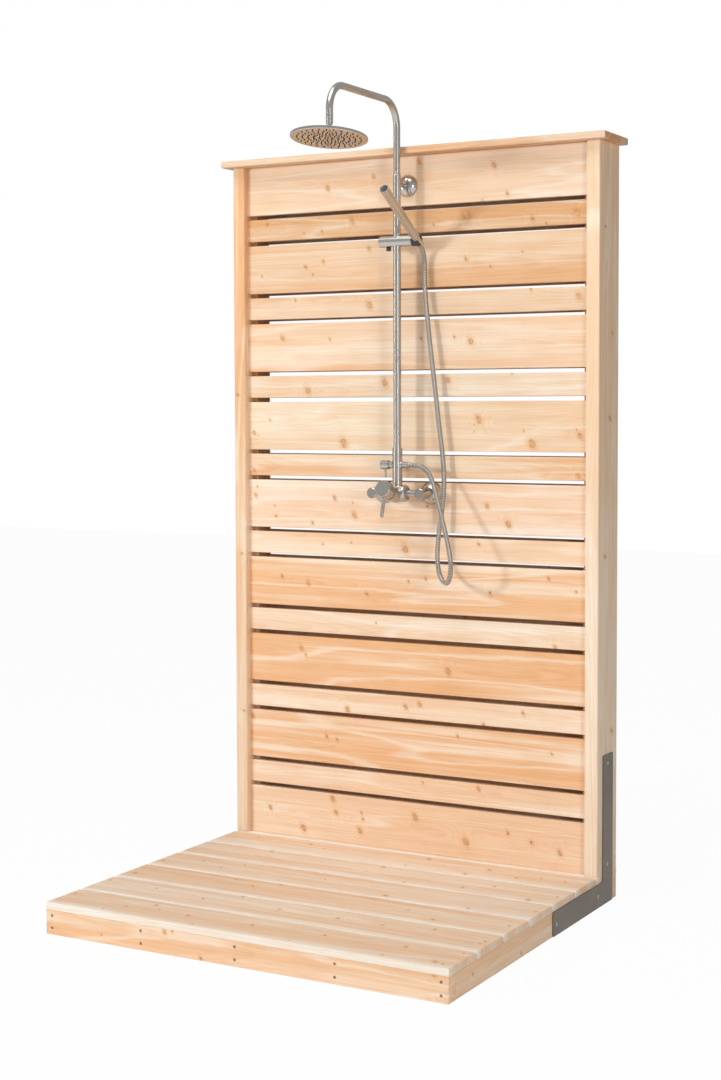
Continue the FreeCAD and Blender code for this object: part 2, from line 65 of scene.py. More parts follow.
# --- places taken from the part, in millimetres ---
WIDE = 139.7
NARROW = 63.5
THICK = 19.05
STUD = 38.1
HALF_WIDTH = 576.5
SLAT_GAP = 12.7
DECK_TOP = NARROW + THICK
DECK_FRONT = -517.45
DECK_BACK = 517.45
DECK_PITCH = 149.2
RIM_MIDDLE = NARROW / 2
POST_LINE = HALF_WIDTH - STUD / 2
POST_FRONT = DECK_BACK - WIDE
POST_MIDDLE = DECK_BACK - WIDE / 2
SLAT_FACE = POST_FRONT + THICK
BACK_SLAT_FACE = DECK_BACK - THICK
WALL_MIDDLE = 1066.8
BATTEN_LINE = 528.9
BATTEN_FACE = 415.8
CAP_MIDDLE = 433.6
CAP_TOP = 2070.1
JOIST_LINES = [POST_LINE * step / 2 for step in (-2, -1, 0, 1, 2)]
RIM_SCREW_LEVELS = (17.5, 49.5)
BRACKET_FACE = 579.3
BRACKET_SCREWS = ((445.75, 383), (445.75, 107), (379.75, 32), (95.75, 29))
THUMB_SCREW = (-32, 333, 1787.1)
HEAD_PIVOT = (-6, -37, 2068)
HEAD_TILT = -7.5            # degrees about X: the front edge is up
NOZZLE_FACE = -25.2         # from the pivot, along the head's axis
OUTER_RING = 84.0
INNER_RING = 11.0
HAND_END = (58, 139.0, 1929.7)
HAND_AXIS = (0, -0.8471, 0.5314)

# The hose's route: out of the tee, down round the loop, and up to the hand shower.
HOSE_ROUTE = [
    (30.4, 333, 1188), (57, 333, 1188), (82, 330, 1178.5), (103, 322, 1160), (122, 310, 1127),
    (150, 289, 1063), (177, 268, 1004), (195, 253, 961), (204, 248, 915), (185, 270, 868),
    (144, 314, 868), (115, 345, 897), (107, 355, 945), (110, 360, 1002), (118, 365, 1063),
    (122, 370, 1130), (118, 371, 1205), (106, 370, 1295), (94, 370, 1395), (81, 369, 1500),
    (68, 371, 1600), (57, 377, 1692), (57, 380.5, 1755), (58, 361, 1790.4), (58, 326.6, 1812),
]
LOOP_BOTTOM = (164.5, 292, 868)
TEE_STRETCH = 30.0          # of hose next to the tee over which the share stays 0
SLIDER_STRETCH = 60.0       # of hose next to the hand shower over which the share is 1
PLAIN_END = 12.0            # over which the ribs fade out at both ends

# Knots of each slat, from the deck upwards: along the slat and up from its middle, and their size.
# A knot shows about half as far out as its size says.
SLAT_KNOTS = [
    [(-470, 8, 10), (-255, 55, 12), (-245, 17, 10), (-355, -42, 14), (-160, 24, 6), (-155, 6, 7),
     (-165, -27, 12), (15, 32, 13), (175, -22, 16), (305, 17, 8), (375, 0, 8), (460, -20, 11)],
    [(215, 19, 9), (40, 19, 5)],
    [(-275, 9, 8), (-240, 3, 6), (435, 23, 6), (-530, 49, 10), (150, 47, 7)],
    [(-205, -20, 12), (-15, 1, 10), (350, 13, 8), (230, -29, 8), (30, 13, 10)],
    [(-360, 34, 10), (120, -2, 12), (-345, 16, 6)],
    [(445, -29, 9), (-110, 8, 5)],
    [(-425, 14, 8), (-335, -3, 9), (-140, -24, 8), (-5, 18, 6), (50, 27, 6), (250, -2, 8),
     (505, 12, 6), (425, 44, 7)],
    [(-15, -6, 14), (-285, 0, 5), (-190, 7, 4), (215, 17, 8)],
    [(-515, 24, 9), (-245, 20, 10), (-180, -28, 12), (-320, -54, 8), (-445, -37, 6), (240, 9, 10),
     (305, -40, 13), (55, 4, 6), (-185, 8, 4), (-450, -6, 4), (-510, 49, 5)],
    [(-520, -18, 8), (510, -20, 9), (-10, 0, 13)],
    [(-465, 17, 5), (-520, -21, 9), (-215, -49, 18), (215, 18, 14), (200, 4, 3), (200, -14, 3),
     (375, -48, 17), (350, -13, 4), (515, -25, 11), (505, -8, 4), (95, -4, 8), (-505, -29, 4)],
    [(-335, -11, 14), (-80, 8, 14), (120, 14, 11), (315, 30, 5)],
    [(-260, 21, 6), (190, 6, 13), (140, 19, 6), (-420, 28, 10), (35, 18, 6)],
    [(-375, 21, 6), (-130, 1, 14), (370, 29, 6), (510, 5, 12)],
    [(-340, 2, 8), (-280, 15, 7), (-130, 45, 9), (-490, -18, 5), (175, 4, 8), (345, 17, 4),
     (-315, -20, 5), (250, -20, 5)],
    [(-185, 9, 12), (-285, -11, 5), (-345, -15, 4), (75, -11, 5), (175, 12, 18), (375, -11, 8),
     (415, -25, 5), (505, -3, 14), (-470, 18, 6)],
    [(-265, -4, 10), (-115, 20, 9), (260, 26, 10), (300, -53, 8), (30, 51, 10), (225, -66, 4)],
]
# How far each slat's heartwood goes to orange, from the deck upwards.
SLAT_HEART = [0.0, 0.2, 0.95, 0.2, 0.95, 0.0, 0.9, 0.25, 0.1, 0.8, 0.0, 0.2, 0.55, 0.65, 0.6,
              0.9, 0.35]

# Tints of single slats, from the bottom slat 0 to the top slat 16: boards darker or paler than
# their neighbours, and on slats 9 to 16 also painted shade, which darkens the upper slats where the
# lamps light them more.
SLAT_TONE_AND_SHADE = {5: (1.0, 1.06, 1.12), 8: (1.0, 1.03, 1.09), 9: (0.93, 0.91, 0.88),
             10: (0.93, 0.95, 0.94), 11: (0.91, 0.93, 0.94), 12: (0.93, 0.92, 0.91),
             13: (0.85, 0.78, 0.71), 14: (0.84, 0.78, 0.71), 15: (0.80, 0.77, 0.71),
             16: (0.94, 0.98, 1.02)}

# Knots of each deck board, from the front to the wall, and how far its heartwood goes to orange.
DECK_KNOTS = [
    [(-560, 31, 6), (-410, -48, 5), (-372, -3, 7), (-310, 42, 8), (-280, 13, 4), (-185, 3, 8),
     (-135, -53, 5), (0, 11, 8), (145, -54, 4), (200, 21, 8), (395, -51, 5), (413, 33, 9),
     (525, -36, 9), (550, -45, 6), (555, 52, 5)],
    [(-565, 35, 7), (-405, 26, 6), (-280, 17, 4), (-240, 0, 8), (-160, 66, 8), (-15, 12, 8),
     (155, 12, 9), (280, 13, 6), (410, 42, 8), (555, -9, 5), (560, 10, 8)],
    [(-550, -22, 9), (-270, 54, 6), (-195, 18, 8), (-135, 65, 10), (275, 11, 5), (365, -32, 8),
     (555, 7, 7)],
    [(-560, -26, 8), (-460, 29, 6), (-375, -10, 6), (-335, 47, 6), (-165, -52, 5), (-60, 19, 6),
     (-5, 7, 4), (160, -46, 10), (275, 7, 4), (400, -51, 8), (560, 6, 5)],
    [(-350, 63, 9), (-5, -2, 4), (15, 59, 11), (140, -56, 7), (300, -28, 9), (370, 21, 8),
     (500, -56, 11), (555, 7, 6)],
    [(-470, 31, 6), (-295, 38, 9), (-235, 11, 5), (60, -44, 6), (85, 48, 12), (155, -1, 5),
     (245, -49, 10), (285, 21, 10), (385, -20, 7), (445, 7, 6), (515, 7, 6)],
    [(-300, -20, 8), (120, 10, 7), (420, -30, 8)],
]
DECK_HEART = [0.25, 0.15, 0.5, 0.1, 0.45, 0.1, 0.2]

# Colours of single features in the wood, and of the painted sheen on it.
LARGE_KNOT = 9              # the size from which a knot shows its rings
PALE_EDGE = (0.99, 0.91, 0.80, 1.0)
# Painted sheen: the colour of pale wavy bands that stand in for the shine of the wood.
PAINTED_SHEEN = (0.975, 0.86, 0.73, 1.0)
KNOT_DARK = (0.50, 0.255, 0.12, 1.0)
KNOT_PALE = (0.76, 0.45, 0.235, 1.0)

# --- the stage, in metres ---
FLOOR_SIZE = 24.0
FLOOR_WHITE = 0.965         # how white the camera and metal see the floor
SURROUND = (1.0, 0.92, 0.835, 1.0)
CURTAIN_RADIUS = 8.0
CURTAIN_HEIGHT = 6.0
CURTAIN_MIDDLE = 2.9
KEY_COLOUR = (0.94, 0.975, 1.0)
LAMP_COLOUR = (1.0, 0.995, 0.985)
FILL_STRIPS = 1.9           # power of the fill on the right, in strip lights
CAMERA_PLACE = (2.3603, -4.10375, 1.34415)
CAMERA_TURNS = ((0.5105, "Z"), (-0.0522, "X"), (0.0027, "Y"), (math.pi / 2, "X"))
CAMERA_SHIFT = -0.0342


# --- sizes and colours a user would change ---
class CedarProperties(PropertyGroup):
    sapwood: FloatVectorProperty(
        name="Sapwood", description="Pale outer wood", subtype="COLOR", size=4,
        default=(0.955, 0.795, 0.635, 1.0))
    heartwood: FloatVectorProperty(
        name="Heartwood", description="Honey coloured inner wood", subtype="COLOR", size=4,
        default=(0.91, 0.655, 0.455, 1.0))
    orange: FloatVectorProperty(
        name="Orange heartwood", description="Deepest colour of the inner wood", subtype="COLOR",
        size=4, default=(0.87, 0.52, 0.285, 1.0))
    knot: FloatVectorProperty(
        name="Knot", description="Wood of a live knot", subtype="COLOR", size=4,
        default=(0.36, 0.17, 0.08, 1.0))
    bark: FloatVectorProperty(
        name="Knot rim", description="Dark ring round a knot", subtype="COLOR", size=4,
        default=(0.19, 0.085, 0.04, 1.0))
    ring: FloatProperty(
        name="Growth ring", description="Width of one year's growth", default=0.0042,
        min=0.001, max=0.02, unit="LENGTH")


class MetalProperties(PropertyGroup):
    stainless: FloatVectorProperty(
        name="Stainless", description="Brushed shower metal", subtype="COLOR", size=4,
        default=(0.56, 0.535, 0.50, 1.0))
    plate: FloatVectorProperty(
        name="Bracket steel", description="Mill finish of the angle plates", subtype="COLOR",
        size=4, default=(0.165, 0.14, 0.115, 1.0))
    screw: FloatVectorProperty(
        name="Screw", description="Waxed steel screws", subtype="COLOR", size=4,
        default=(0.06, 0.045, 0.035, 1.0))


class HoseProperties(PropertyGroup):
    radius: FloatProperty(
        name="Radius", description="Over the ribs", default=0.007, min=0.003, max=0.02,
        unit="LENGTH")
    groove: FloatProperty(
        name="Groove", description="Depth between ribs", default=0.0011, min=0.0, max=0.003,
        unit="LENGTH")
    lead: FloatProperty(
        name="Lead", description="Rise of one spiral in one turn", default=0.0092, min=0.002,
        max=0.05, unit="LENGTH")
    starts: IntProperty(
        name="Spirals", description="Spirals that run side by side", default=2, min=1, max=4)
    sides: IntProperty(
        name="Sides", description="Faces round the hose", default=14, min=8, max=32)


class SmallPartProperties(PropertyGroup):
    spokes: IntProperty(
        name="Spokes", description="Curved rows of nozzles", default=28, min=6, max=60)
    rings: IntProperty(
        name="Rings", description="Nozzles in one row", default=6, min=2, max=12)
    twist: FloatProperty(
        name="Twist", description="Turn of a row from one ring to the next", default=0.112,
        min=-0.5, max=0.5, subtype="ANGLE")
    rim_head: FloatProperty(
        name="Rim screw", description="Radius of the screw heads in the rim boards", default=0.0034,
        min=0.002, max=0.005, unit="LENGTH")
    plate_head: FloatProperty(
        name="Bracket screw", description="Radius of the screw heads in the brackets",
        default=0.0048, min=0.003, max=0.0049, unit="LENGTH")
    sink: FloatProperty(
        name="Sink", description="Depth of the screw heads in the rim boards", default=0.0006,
        min=0.0001, max=0.003, unit="LENGTH")
    knurls: IntProperty(
        name="Knurls", description="Grips round the thumb screw", default=14, min=6, max=40)


class StageProperties(PropertyGroup):
    lens: FloatProperty(
        name="Lens", description="Focal length for a 36 mm frame", default=60.03, min=10.0,
        max=300.0)
    key: FloatProperty(
        name="Main light", description="Watts of the lamp at the front left", default=134.0,
        min=0.0, max=2000.0)
    strip: FloatProperty(
        name="Strip lights", description="Watts of each tall soft lamp at the front", default=27.0,
        min=0.0, max=2000.0)
    top: FloatProperty(
        name="Top light", description="Watts of the soft lamp overhead", default=84.0,
        min=0.0, max=2000.0)
    fill: FloatProperty(
        name="Fill", description="Level of the light from all round", default=0.165, min=0.0,
        max=2.0)
    curtain: FloatProperty(
        name="Curtain", description="Brightness of the grey curtain all round, which only metal "
        "mirrors", default=0.44, min=0.0, max=1.0)


# --- shader maths ---
class Value:
    """A shader socket that takes part in sums."""

    def __init__(self, shader, socket):
        self.shader = shader
        self.socket = socket

    def __add__(self, other):
        return self.shader.sum("ADD", self, other)

    def __radd__(self, other):
        return self.shader.sum("ADD", other, self)

    def __sub__(self, other):
        return self.shader.sum("SUBTRACT", self, other)

    def __rsub__(self, other):
        return self.shader.sum("SUBTRACT", other, self)

    def __mul__(self, other):
        return self.shader.sum("MULTIPLY", self, other)

    def __rmul__(self, other):
        return self.shader.sum("MULTIPLY", other, self)

    def __truediv__(self, other):
        return self.shader.sum("DIVIDE", self, other)

    def __rtruediv__(self, other):
        return self.shader.sum("DIVIDE", other, self)


class Nodes:
    """A tree of shader nodes under construction."""

    def __init__(self, tree):
        self.tree = tree
        self.tree.nodes.clear()

    def node(self, kind, inputs=None, output=0, **settings):
        """A node of any type: its settings first, then the values or links of its sockets."""
        made = self.tree.nodes.new("ShaderNode" + kind)
        for key, value in settings.items():
            setattr(made, key, value)
        for key, value in (inputs or {}).items():
            self.feed(made.inputs[key], value)
        return Value(self, made.outputs[output]) if made.outputs else made

    def feed(self, socket, value):
        if isinstance(value, Value):
            self.tree.links.new(value.socket, socket)
        else:
            socket.default_value = value

    def sum(self, operation, first, second=0.0):
        return self.node("Math", {0: first, 1: second}, operation=operation)

    def smooth(self, value, low, high):
        """0 below low, 1 above high."""
        return self.node("MapRange", {"Value": value, "From Min": low, "From Max": high},
                         interpolation_type="SMOOTHSTEP")

    def vector(self, operation, first, second=(0, 0, 0), output=0):
        return self.node("VectorMath", {0: first, 1: second}, output, operation=operation)

    def stretched(self, vector, scale, shift):
        return self.node("VectorMath", {0: vector, 1: scale, 2: shift}, operation="MULTIPLY_ADD")

    def noise(self, vector, detail=2.0, output="Fac"):
        return self.node("TexNoise", {"Vector": vector, "Scale": 1.0, "Detail": detail}, output)

    def mix(self, share, first, second, blend="MIX"):
        return self.node("Mix", {0: share, 6: first, 7: second}, 2, data_type="RGBA", blend_type=blend)

    def place(self):
        return self.node("TexCoord", output="Object")

    def parts(self, vector):
        split = self.node("SeparateXYZ", {0: vector}).socket.node
        return [Value(self, socket) for socket in split.outputs]


class Finish(Nodes):
    """A material under construction, with one principled surface."""

    def __init__(self, name):
        self.material = bpy.data.materials.new(name)
        self.material.use_nodes = True
        super().__init__(self.material.node_tree)
        self.surface = self.node("BsdfPrincipled")
        self.output = self.node("OutputMaterial", {0: self.surface})

    def set(self, **sockets):
        shader = self.surface.socket.node
        for name, value in sockets.items():
            self.feed(shader.inputs[name.replace("_", " ")], value)

    def bump(self, height, distance):
        self.set(Normal=self.node("Bump", {"Height": height, "Distance": distance, "Strength": 1.0}))


# --- finishes ---
class Cedar(Finish):
    """Flat-sawn cedar under construction. Axes are the grain's, the width's and the depth's, the
    centre is a place on the board in millimetres, and the seed picks the tree."""

    def __init__(self, name, axes, centre, seed):
        super().__init__(name)
        centred = self.node("Mapping", {"Vector": self.place(), "Location": Vector(centre) * -MM})
        world = self.parts(centred)
        self.along, self.across, self.deep = (world["XYZ".index(axis)] for axis in axes)
        self.board = self.node("CombineXYZ", {0: self.along, 1: self.across, 2: self.deep})
        self.shift = Vector((seed * 3.17, seed * 1.73, seed * 2.39))
        self.fibre = self.grain((6.0, 420.0, 420.0), 3.0)
        self.soft = self.grain((3.0, 130.0, 130.0), 2.0)

    def grain(self, scale, detail, output="Fac", further=1.0):
        """Noise in the board's own directions."""
        return self.noise(self.stretched(self.board, scale, self.shift * further), detail, output)

    def knot_reaches(self, knots, ragged):
        """How far the nearest small and the nearest large knot are, in sizes of that knot."""
        squeezed = self.node("CombineXYZ", {0: self.along * 1.1 + self.across * 0.3,
                                            1: self.across * 0.85})
        squeezed = self.vector("ADD", squeezed, self.vector("MULTIPLY", ragged, (0.005, 0.005, 0.0)))
        far = self.sum("ADD", self.along * 0.0, 9.0)
        pins, limbs = far, far
        for run, rise, size in knots:
            spot = ((run * 1.1 + rise * 0.3 + 2.5) * MM, (rise * 0.85 + 2.5) * MM, 0.0)
            reach = self.vector("DISTANCE", squeezed, spot, output="Value") / (size * MM)
            if size < LARGE_KNOT:
                pins = self.sum("MINIMUM", pins, reach)
            else:
                limbs = self.sum("MINIMUM", limbs, reach)
        return pins, limbs

    def late_wood(self, pith, bulge):
        """The dark end of each year's growth round the pith, which knots push outwards."""
        sway, stray, _ = self.parts(self.grain((1.3, 3.0, 3.0), 1.0, "Color"))
        side = self.across - pith[0] * MM + (sway - 0.5) * 0.06
        depth = self.deep + pith[1] * MM + (stray - 0.5) * 0.05 + self.along * 0.012
        radius = self.sum("SQRT", side * side + depth * depth) + bulge * 0.010
        years = radius / bpy.context.scene.cedar.ring
        year = self.sum("FRACT", years + self.fibre * 0.35 + self.soft * 0.5)
        return self.smooth(year, 0.2, 0.92) * (1.0 - self.smooth(year, 0.93, 1.0))

    def broad_colour(self, heart, pale_strip):
        """Sapwood, heartwood and orange in bands, a pale edge, and wavy bands of painted sheen."""
        look = bpy.context.scene.cedar
        band = self.grain((0.7, 13.0, 5.0), 1.5)
        streak = self.grain((1.3, 48.0, 26.0), 3.0)
        inner = self.smooth(band + streak * 0.5, 0.52, 0.88)
        colour = self.mix(inner, tuple(look.sapwood), tuple(look.heartwood))
        low = 0.70 - 0.36 * heart
        deeper = self.smooth(band * 0.6 + streak * 0.4, low, low + 0.17) * (0.25 + 0.75 * heart)
        colour = self.mix(deeper, colour, tuple(look.orange))
        # A paler strip along one edge of the board, fading out from 8 to 30 mm in.
        if pale_strip is not None:
            drift = self.across + (streak - 0.5) * 0.03
            edge = 1.0 - self.smooth(drift, (pale_strip + 8.0) * MM, (pale_strip + 30.0) * MM)
            colour = self.mix(edge * 0.9, colour, PALE_EDGE)
        # Pale wavy bands along the grain: painted sheen.
        ripple = self.grain((0.9, 13.0, 8.0), 1.0, further=1.7)
        waver = self.grain((11.0, 9.0, 8.0), 2.0)
        away = self.sum("ABSOLUTE", ripple - 0.5 + (waver - 0.5) * 0.06)
        return self.mix((1.0 - self.smooth(away, 0.0, 0.035)) * 0.55, colour, PAINTED_SHEEN)


def cedar(name, axes, centre, seed, heart, knots=(), pale_strip=None, pith=(10.0, 55.0), tone_and_light=(1, 1, 1),
          clear=1.0):
    """The finish of one board, its places in millimetres from the centre: each knot along the grain
    and across it, with its size, pale_strip the place across the board of an edge with a paler strip
    along it, and pith the middle of the tree, across and below. clear is how clearly the knots show.
    tone_and_light multiplies the colour: the board's own tone, and also painted shade on the upper
    slats, the battens and the cap, and painted light on the right post."""
    look = bpy.context.scene.cedar
    made = Cedar(name, axes, centre, seed)
    ragged = made.grain((75.0, 120.0, 75.0), 2.0, "Color")
    broken = made.parts(ragged)[2]
    pins, limbs = made.knot_reaches(knots, ragged)
    near = made.sum("MINIMUM", pins, limbs)
    pin = 1.0 - made.smooth(pins, 0.15, 0.6)
    limb = 1.0 - made.smooth(limbs, 0.4, 0.72)
    rim = made.smooth(limbs, 0.3, 0.5) * (1.0 - made.smooth(limbs, 0.5, 0.75))
    rim = rim * made.smooth(broken, 0.42, 0.58)
    glow = 1.0 - made.smooth(near, 0.4, 1.7)
    late = made.late_wood(pith, 1.0 - made.smooth(near, 0.0, 3.6))
    mottle = made.grain((9.0, 26.0, 12.0), 2.0)
    colour = made.broad_colour(heart, pale_strip)
    for share, shade in ((made.smooth(mottle, 0.4, 0.75) * 0.4, (0.94, 0.84, 0.72, 1.0)),
                         (late * 0.30, (0.90, 0.76, 0.62, 1.0)),
                         (made.smooth(made.soft, 0.35, 0.75) * 0.45, (0.93, 0.83, 0.73, 1.0)),
                         (made.smooth(made.fibre, 0.42, 0.8) * 0.45, (0.88, 0.78, 0.68, 1.0)),
                         # The board's own tone, with painted shade on the upper slats, battens and cap,
                         # and painted light on the right post.
                         (1.0, (*tone_and_light, 1.0)),
                         (glow * 0.6 * clear, (0.90, 0.68, 0.47, 1.0))):
        colour = made.mix(share, colour, shade, "MULTIPLY")
    ringed = made.smooth(made.sum("FRACT", limbs * 4.0 + broken), 0.2, 0.8)
    colour = made.mix(limb * 0.75 * clear, colour, made.mix(ringed, KNOT_DARK, KNOT_PALE))
    colour = made.mix(pin * 0.85 * clear, colour, tuple(look.knot))
    colour = made.mix(rim * 0.36 * clear, colour, tuple(look.bark))
    rough = 0.50 + made.fibre * 0.18 - limb * 0.12
    made.set(Base_Color=colour, Roughness=rough, Specular_IOR_Level=0.3)
    made.bump(made.fibre * 0.6 - late * 0.4 + limb * 0.8, 0.0002)
    return made.material


def stainless(name, axis, roughness=0.25, streaks=420.0):
    """Brushed steel; the brushing runs along the axis."""
    base = tuple(bpy.context.scene.metal.stainless)
    dim = tuple(channel * 0.84 for channel in base[:3]) + (1.0,)
    made = Finish(name)
    scale = [streaks, streaks, streaks]
    scale["XYZ".index(axis)] = 9.0
    brushed = made.noise(made.stretched(made.place(), tuple(scale), (0.3, 0.7, 0.1)), 2.0)
    cloudy = made.noise(made.stretched(made.place(), (14.0, 14.0, 9.0), (4.0, 1.0, 2.0)), 2.0)
    colour = made.mix(made.smooth(cloudy + brushed * 0.2, 0.4, 0.9) * 0.5, base, dim)
    rough = roughness - 0.03 + brushed * 0.03 + cloudy * 0.05
    made.set(Base_Color=colour, Metallic=1.0, Roughness=rough)
    return made.material


def plate_steel():
    """Hot-rolled flat steel, dull and a little blotched."""
    look = bpy.context.scene.metal
    made = Finish("plate_steel")
    place = made.place()
    blotch = made.noise(made.stretched(place, (9.0, 9.0, 9.0), (2.0, 5.0, 1.0)), 4.0)
    speck = made.noise(made.stretched(place, (420.0, 420.0, 420.0), (0.0, 3.0, 6.0)), 2.0)
    drawn = made.noise(made.stretched(place, (30.0, 6.0, 260.0), (8.0, 1.0, 2.0)), 2.0)
    colour = made.mix(made.smooth(blotch, 0.3, 0.7), tuple(look.plate), (0.22, 0.19, 0.16, 1.0))
    colour = made.mix(made.smooth(speck, 0.55, 0.75) * 0.4, colour, (0.10, 0.085, 0.07, 1.0))
    made.set(Base_Color=colour, Metallic=0.75, Roughness=0.42 + blotch * 0.18 + drawn * 0.08)
    made.bump(speck * 0.5 + drawn * 0.5, 0.00008)
    return made.material


def plain(name, colour, roughness, metallic=0.0, grain=900.0, height=0.00003):
    """Moulded or turned stuff with a fine even texture."""
    made = Finish(name)
    fine = made.noise(made.stretched(made.place(), (grain, grain, grain), (1.0, 2.0, 3.0)), 2.0)
    darker = tuple(channel * 0.7 for channel in colour[:3]) + (1.0,)
    shade = made.mix(made.smooth(fine, 0.4, 0.8) * 0.5, colour, darker)
    made.set(Base_Color=shade, Metallic=metallic, Roughness=roughness + fine * 0.1)
    made.bump(fine, height)
    return made.material


def dress(node, material):
    """Puts a finish on a node of the part."""
    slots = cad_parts[node].data.materials
    slots.clear()
    slots.append(material)


# --- mesh helpers ---
def start_clean():
    if bpy.context.object and bpy.context.object.mode != "OBJECT":
        bpy.ops.object.mode_set(mode="OBJECT")
    bpy.ops.object.select_all(action="DESELECT")


def pick(piece, wanted):
    """Edit mode with just the faces chosen that pass the test."""
    bpy.ops.object.mode_set(mode="EDIT")
    bpy.ops.mesh.select_mode(type="FACE")
    bpy.ops.mesh.select_all(action="DESELECT")
    mesh = bmesh.from_edit_mesh(piece.data)
    for face in mesh.faces:
        face.select_set(wanted(face))
    bmesh.update_edit_mesh(piece.data)


def settle(piece, material, angle=35.0):
    """Ends a piece: turned into place, smooth where it is round, and dressed."""
    if piece.mode != "OBJECT":
        bpy.ops.object.mode_set(mode="OBJECT")
    bpy.ops.object.transform_apply(location=True, rotation=True, scale=True)
    pick(piece, lambda face: True)
    bpy.ops.mesh.normals_make_consistent(inside=False)
    bpy.ops.object.mode_set(mode="OBJECT")
    bpy.ops.object.shade_smooth_by_angle(angle=math.radians(angle))
    piece.data.materials.clear()
    piece.data.materials.append(material)


def repeated(master, name, places):
    """One piece out of copies of a master, each with a mesh of its own; the master goes."""
    copies = []
    for place in places:
        copy = master.copy()
        copy.data = master.data.copy()
        copy.data.transform(place)
        bpy.context.scene.collection.objects.link(copy)
        copies.append(copy)
    start_clean()
    for copy in copies:
        copy.select_set(True)
    bpy.context.view_layer.objects.active = copies[0]
    bpy.ops.object.join()
    bpy.data.objects.remove(master)
    copies[0].name = name
    return copies[0]


def slat_middle(number):
    """Middle of a slat's face, from the deck upwards."""
    low = DECK_TOP + (number // 2) * (WIDE + NARROW + 2 * SLAT_GAP)
    if number % 2:
        return low + WIDE + SLAT_GAP + NARROW / 2
    return low + WIDE / 2


# --- operators ---
class SHOWER_OT_stage(Operator):
    """Pale floor, white surroundings, a grey curtain for metal, five soft lights and the camera"""

    bl_idname = "shower_post.stage"
    bl_label = "Stage"

    def execute(self, context):
        start_clean()
        look = context.scene.stage
        bpy.ops.mesh.primitive_plane_add(size=FLOOR_SIZE, location=(0, 0, 0))
        floor = context.object
        floor.name = "floor"
        bpy.ops.object.mode_set(mode="EDIT")
        bpy.ops.mesh.subdivide(number_cuts=3)
        bpy.ops.object.mode_set(mode="OBJECT")
        floor.data.materials.append(self.paper())
        self.surround(context, look)
        self.curtain(context, look)
        self.lamp("key_light", look.key, (0.7, 0.7), (-3.0, -4.6, 2.35), (0, 0.4, 1.0), KEY_COLOUR,
                  mirrored=False)
        self.lamp("left_strip", look.strip, (0.5, 2.2), (-4.0, -3.8, 1.85), (0, 0.4, 1.85))
        self.lamp("right_strip", look.strip, (0.6, 2.2), (4.2, -3.3, 1.85), (0, 0.4, 1.85))
        self.lamp("right_fill", look.strip * FILL_STRIPS, (1.2, 2.2), (4.3, -3.0, 1.6), (0, 0.4, 1.2),
                  mirrored=False)
        self.lamp("top_light", look.top, (2.4, 2.4), (-0.2, -1.3, 4.6), (0, -0.3, 0.0))
        self.camera(context, look)
        context.scene.view_settings.view_transform = "Standard"
        return {"FINISHED"}

    def paper(self):
        """White to the camera and in metal, and pale grey to every other ray."""
        made = Finish("floor_paper")
        made.set(Base_Color=(0.9, 0.9, 0.9, 1.0), Roughness=0.7)
        seen = made.node("LightPath", output="Is Camera Ray")
        seen = seen + made.node("LightPath", output="Is Glossy Ray")
        share = made.sum("MINIMUM", seen, 1.0) * FLOOR_WHITE
        both = made.node("MixShader", {0: share, 1: made.surface, 2: made.node("Emission")})
        made.feed(made.output.inputs[0], both)
        return made.material

    def surround(self, context, look):
        """White where it is looked at, and a soft fill where it lights the object."""
        world = bpy.data.worlds.new("surround")
        context.scene.world = world
        world.use_nodes = True
        sky = Nodes(world.node_tree)
        soft = sky.node("Background", {0: SURROUND, 1: look.fill})
        white = sky.node("Background", {0: (1, 1, 1, 1), 1: 1.0})
        share = sky.node("LightPath", output="Is Camera Ray")
        for kind in ("Is Glossy Ray", "Is Transmission Ray"):
            share = sky.sum("MAXIMUM", share, sky.node("LightPath", output=kind))
        sky.node("OutputWorld", {0: sky.node("MixShader", {0: share, 1: soft, 2: white})})

    def curtain(self, context, look):
        """A grey curtain all round and overhead, which only mirrors see."""
        bpy.ops.mesh.primitive_cylinder_add(vertices=48, radius=CURTAIN_RADIUS, depth=CURTAIN_HEIGHT,
                                            location=(0, 0, CURTAIN_MIDDLE))
        curtain = context.object
        curtain.name = "curtain"
        pick(curtain, lambda face: face.normal.z < -0.9)
        bpy.ops.mesh.delete(type="FACE")
        bpy.ops.object.mode_set(mode="OBJECT")
        cloth = Finish("curtain_cloth")
        cloth.set(Base_Color=(0.05, 0.05, 0.05, 1.0), Roughness=1.0,
                  Emission_Color=(1.0, 0.98, 0.95, 1.0), Emission_Strength=look.curtain)
        curtain.data.materials.append(cloth.material)
        for kind in ("camera", "diffuse", "transmission", "volume_scatter", "shadow"):
            setattr(curtain, "visible_" + kind, False)

    def lamp(self, name, watts, size, place, target, colour=LAMP_COLOUR, mirrored=True):
        bpy.ops.object.light_add(type="AREA", location=place)
        lamp = bpy.context.object
        lamp.name = name
        lamp.data.energy = watts
        lamp.data.color = colour
        lamp.data.shape = "RECTANGLE"
        lamp.data.size, lamp.data.size_y = size
        lamp.rotation_euler = (Vector(target) - Vector(place)).to_track_quat("-Z", "Y").to_euler()
        lamp.visible_glossy = mirrored

    def camera(self, context, look):
        bpy.ops.object.camera_add()
        camera = context.object
        camera.name = "camera"
        camera.data.lens = look.lens
        camera.data.sensor_width = 36.0
        camera.data.sensor_fit = "AUTO"
        camera.data.shift_y = CAMERA_SHIFT
        camera.data.clip_start = 0.1
        camera.data.clip_end = 60.0
        turned = Matrix.Translation(CAMERA_PLACE)
        for angle, axis in CAMERA_TURNS:
            turned = turned @ Matrix.Rotation(angle, 4, axis)
        camera.matrix_world = turned
        context.scene.camera = camera


